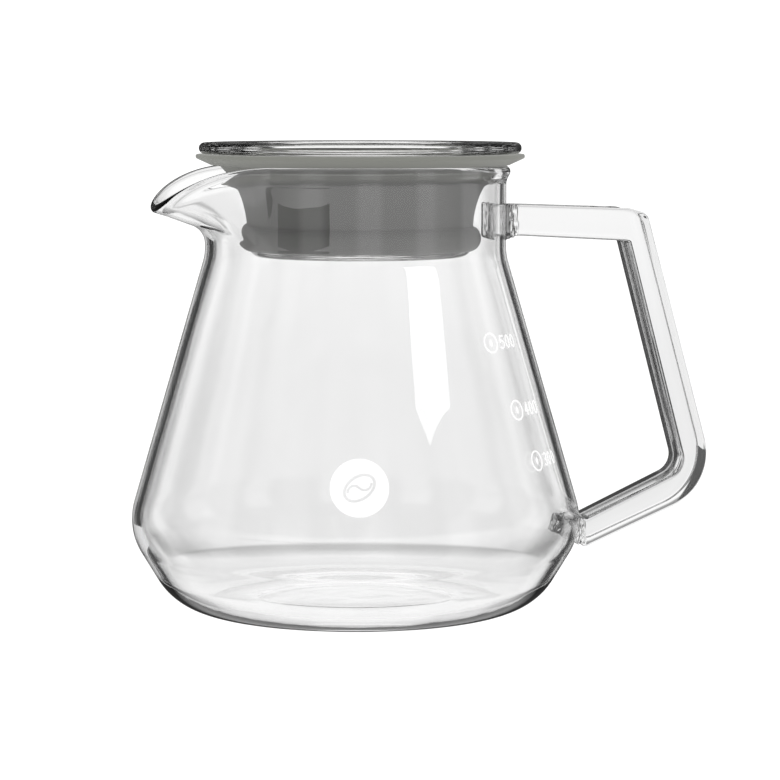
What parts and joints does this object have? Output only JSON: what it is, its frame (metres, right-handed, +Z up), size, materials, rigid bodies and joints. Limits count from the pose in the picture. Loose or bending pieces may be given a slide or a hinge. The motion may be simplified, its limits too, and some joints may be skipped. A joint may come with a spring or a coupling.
{
  "type": "glass coffee server with lid",
  "caption": "Clear blown glass coffee server with a drawn pouring lip, a welded glass bar handle and a lift-off glass lid in a grey silicone sleeve.",
  "frame": {"origin": "centre of the flat base, on the surface it stands on", "axes": "+Z up along the vessel's axis, +X towards the handle, -X towards the pouring lip, -Y roughly towards the printed roundel, which is turned 10 degrees from it towards the lip"},
  "size_m": [0.1471, 0.113, 0.1175],
  "materials": {
    "vessel_glass": "clear borosilicate glass, fire polished",
    "handle_glass": "clear borosilicate glass, drawn bar, fire polished",
    "lid_glass": "clear borosilicate glass, pressed",
    "sleeve_silicone": "matte moulded silicone, mid grey",
    "print_enamel": "fired white screen-print enamel"
  },
  "bodies": {
    "vessel": {"carafe_body": "vessel_glass", "handle_bar": "handle_glass", "handle_weld_upper": "handle_glass", "handle_weld_lower": "handle_glass", "badge_print": "print_enamel", "scale_mark_300": "print_enamel", "scale_mark_400": "print_enamel", "scale_mark_500": "print_enamel"},
    "sleeve": {"lid_sleeve": "sleeve_silicone"},
    "lid": {"lid_glass": "lid_glass"}
  },
  "joints": [
    {"name": "lid_lift", "type": "slide", "parent": "vessel", "child": "sleeve", "axis": [0, 0, 1], "range_m": [0, 0.06]},
    {"name": "glass_pull", "type": "slide", "parent": "sleeve", "child": "lid", "axis": [0, 0, 1], "range_m": [0, 0.035]}
  ]
}
